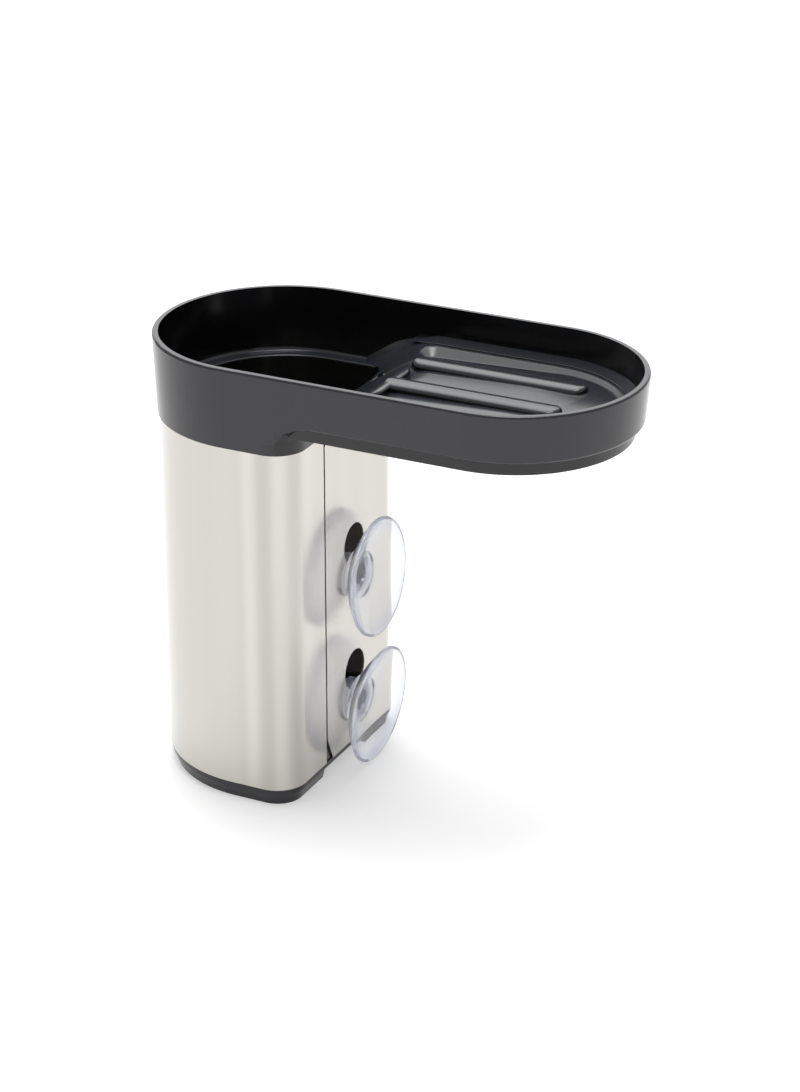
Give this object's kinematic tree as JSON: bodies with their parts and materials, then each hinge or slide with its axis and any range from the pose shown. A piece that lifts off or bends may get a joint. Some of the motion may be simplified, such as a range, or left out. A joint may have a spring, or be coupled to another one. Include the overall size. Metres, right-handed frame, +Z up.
{
  "type": "sink caddy",
  "caption": "Steel D-shaped brush well with a plastic tray on top that reaches out as a ribbed sponge shelf, a drained base cap and clear suction cups in keyhole slots.",
  "frame": {"origin": "on the flat underside of the base cap, below the centre of the tray's round end", "axes": "+X from the round end towards the sponge shelf, +Z up, +Y sideways along the well's flat face"},
  "size_m": [0.1978, 0.1, 0.181],
  "materials": {
    "charcoal_plastic": "moulded charcoal plastic, satin outside and glossy inside",
    "brushed_steel": "fine upright brushing with a satin sheen",
    "clear_vinyl": "clear flexible vinyl with a faint lavender tint"
  },
  "bodies": {
    "base": {"base_cap": "charcoal_plastic"},
    "shell": {"steel_shell": "brushed_steel"},
    "tray": {"tray": "charcoal_plastic"},
    "upper_cup": {"suction_cup_upper": "clear_vinyl"},
    "lower_cup": {"suction_cup_lower": "clear_vinyl"}
  },
  "joints": [
    {"name": "shell_lift", "type": "slide", "parent": "base", "child": "shell", "axis": [0, 0, 1], "range_m": [0, 0.02]},
    {"name": "tray_lift", "type": "slide", "parent": "shell", "child": "tray", "axis": [0, 0, 1], "range_m": [0, 0.03]},
    {"name": "upper_cup_slide", "type": "slide", "parent": "shell", "child": "upper_cup", "axis": [0, 0, 1], "range_m": [0, 0.0128]},
    {"name": "lower_cup_slide", "type": "slide", "parent": "shell", "child": "lower_cup", "axis": [0, 0, 1], "range_m": [0, 0.0065]}
  ]
}
